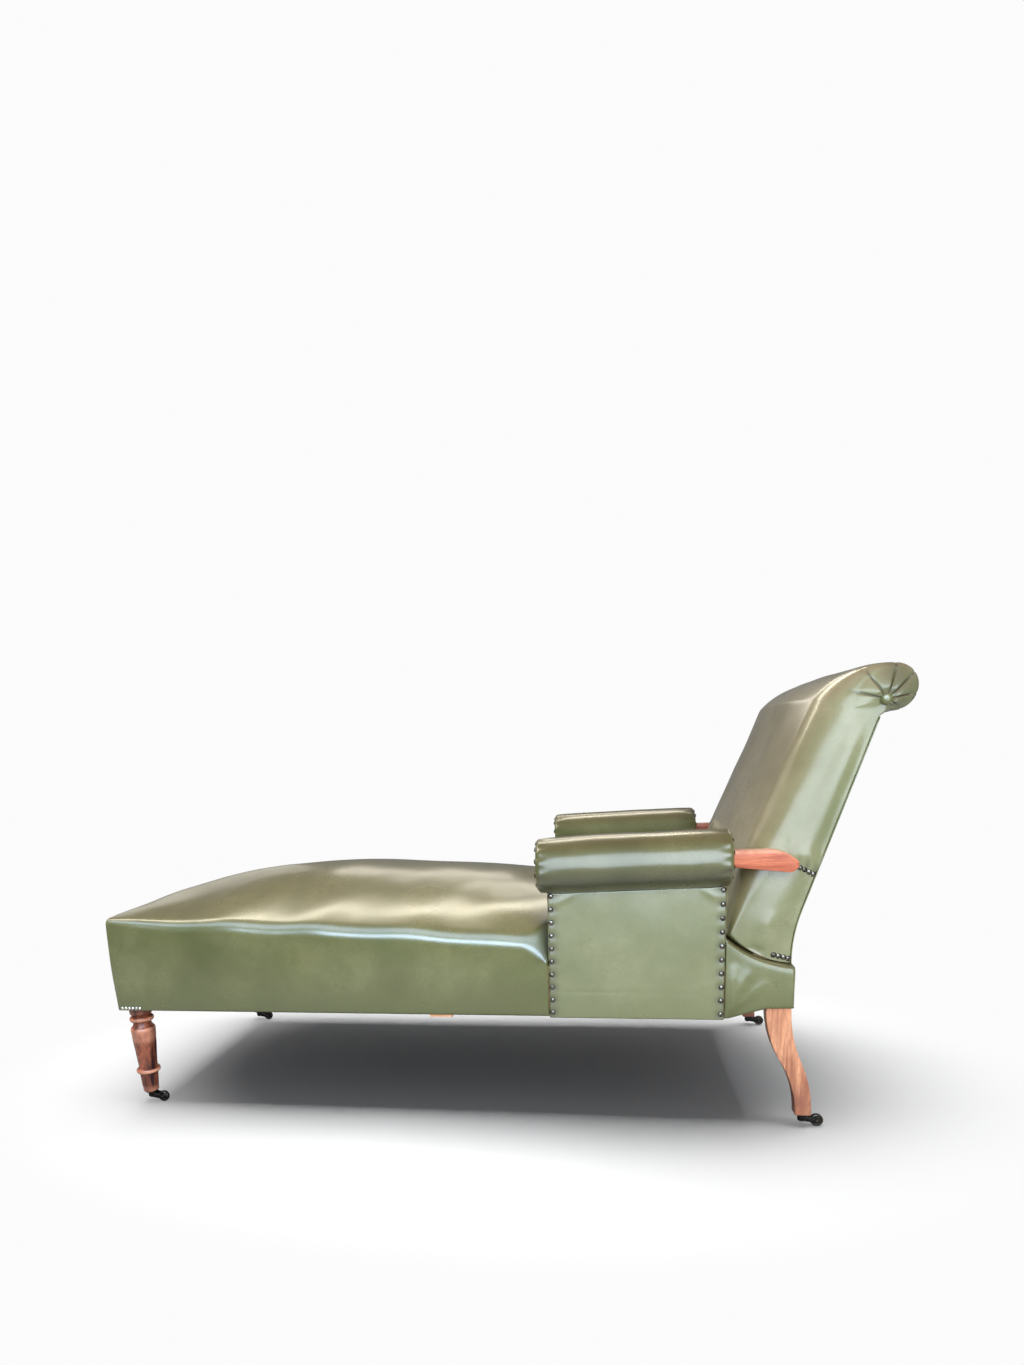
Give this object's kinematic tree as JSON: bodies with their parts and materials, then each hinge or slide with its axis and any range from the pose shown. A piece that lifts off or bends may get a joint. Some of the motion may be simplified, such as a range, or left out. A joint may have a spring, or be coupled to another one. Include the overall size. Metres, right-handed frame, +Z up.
{
  "type": "chaise longue",
  "caption": "Leather chaise longue with crowned sprung seat, rolled arms, raked scroll back, turned front legs, sabre rear legs and swivelling castors",
  "frame": {"origin": "on the floor, under the middle of the bounding box", "axes": "+X from the foot end to the back, +Y to the sitter's right, +Z up"},
  "size_m": [1.6589, 0.724, 0.9032],
  "materials": {
    "green_leather": "olive green leather, satin, worn brighter on the crown and edges",
    "beech": "sawn beech, unfinished",
    "arm_wood": "worn salmon-brown wood",
    "mahogany": "dark red-brown polished turning, worn on the rings",
    "walnut_leg": "orange-brown wood, darker at the foot",
    "jute": "woven jute",
    "hair_stuffing": "curled hair and fibre",
    "bottom_cloth": "black calico",
    "spring_steel": "coppered spring wire",
    "nail_brass": "antiqued brass domes",
    "castor_iron": "blackened iron",
    "castor_wheel": "dark worn brass"
  },
  "bodies": {
    "chaise": {"arm_front_post_left": "beech", "arm_front_post_right": "beech", "arm_inner_panel_left": "green_leather", "arm_inner_panel_right": "green_leather", "arm_outer_panel_left": "green_leather", "arm_outer_panel_right": "green_leather", "arm_panel_nails": "nail_brass", "arm_rail_left": "arm_wood", "arm_rail_right": "arm_wood", "arm_rear_post_left": "beech", "arm_rear_post_right": "beech", "arm_roll_left": "green_leather", "arm_roll_nails": "nail_brass", "arm_roll_right": "green_leather", "back_cheek_nails": "nail_brass", "back_cushion": "green_leather", "back_lower_rail": "beech", "back_middle_rail": "beech", "back_scroll_rail": "beech", "back_stile_left": "beech", "back_stile_right": "beech", "back_webbing": "jute", "bottom_cloth": "bottom_cloth", "castor_plates": "castor_iron", "foot_rail": "beech", "front_leg_left": "mahogany", "front_leg_nails": "nail_brass", "front_leg_right": "mahogany", "outside_back": "green_leather", "packing_blocks": "beech", "rear_leg_left": "walnut_leg", "rear_leg_right": "walnut_leg", "rear_rail": "beech", "rear_seat_cover": "green_leather", "scroll_button_left": "green_leather", "scroll_button_right": "green_leather", "scroll_facing_left": "green_leather", "scroll_facing_right": "green_leather", "seat_cover": "green_leather", "seat_springs": "spring_steel", "seat_stuffing": "hair_stuffing", "seat_webbing": "jute", "side_rail_left": "beech", "side_rail_right": "beech", "spring_hessian": "jute"},
    "castor_front_left": {"castor_horn_front_left": "castor_iron", "castor_axle_front_left": "castor_iron"},
    "wheel_front_left": {"castor_wheel_front_left": "castor_wheel"},
    "castor_front_right": {"castor_horn_front_right": "castor_iron", "castor_axle_front_right": "castor_iron"},
    "wheel_front_right": {"castor_wheel_front_right": "castor_wheel"},
    "castor_rear_left": {"castor_horn_rear_left": "castor_iron", "castor_axle_rear_left": "castor_iron"},
    "wheel_rear_left": {"castor_wheel_rear_left": "castor_wheel"},
    "castor_rear_right": {"castor_horn_rear_right": "castor_iron", "castor_axle_rear_right": "castor_iron"},
    "wheel_rear_right": {"castor_wheel_rear_right": "castor_wheel"}
  },
  "joints": [
    {"name": "swivel_front_left", "type": "hinge", "parent": "chaise", "child": "castor_front_left", "pos_m": [-0.79306, -0.285, 0.019], "axis": [0, 0, 1], "continuous": true},
    {"name": "roll_front_left", "type": "hinge", "parent": "castor_front_left", "child": "wheel_front_left", "pos_m": [-0.76306, -0.285, 0.0125], "axis": [0, 1, 0], "continuous": true},
    {"name": "swivel_front_right", "type": "hinge", "parent": "chaise", "child": "castor_front_right", "pos_m": [-0.79306, 0.285, 0.019], "axis": [0, 0, 1], "continuous": true},
    {"name": "roll_front_right", "type": "hinge", "parent": "castor_front_right", "child": "wheel_front_right", "pos_m": [-0.76306, 0.285, 0.0125], "axis": [0, 1, 0], "continuous": true},
    {"name": "swivel_rear_left", "type": "hinge", "parent": "chaise", "child": "castor_rear_left", "pos_m": [0.65994, -0.299, 0.019], "axis": [0, 0, 1], "continuous": true},
    {"name": "roll_rear_left", "type": "hinge", "parent": "castor_rear_left", "child": "wheel_rear_left", "pos_m": [0.68994, -0.299, 0.0125], "axis": [0, 1, 0], "continuous": true},
    {"name": "swivel_rear_right", "type": "hinge", "parent": "chaise", "child": "castor_rear_right", "pos_m": [0.65994, 0.299, 0.019], "axis": [0, 0, 1], "continuous": true},
    {"name": "roll_rear_right", "type": "hinge", "parent": "castor_rear_right", "child": "wheel_rear_right", "pos_m": [0.68994, 0.299, 0.0125], "axis": [0, 1, 0], "continuous": true}
  ]
}
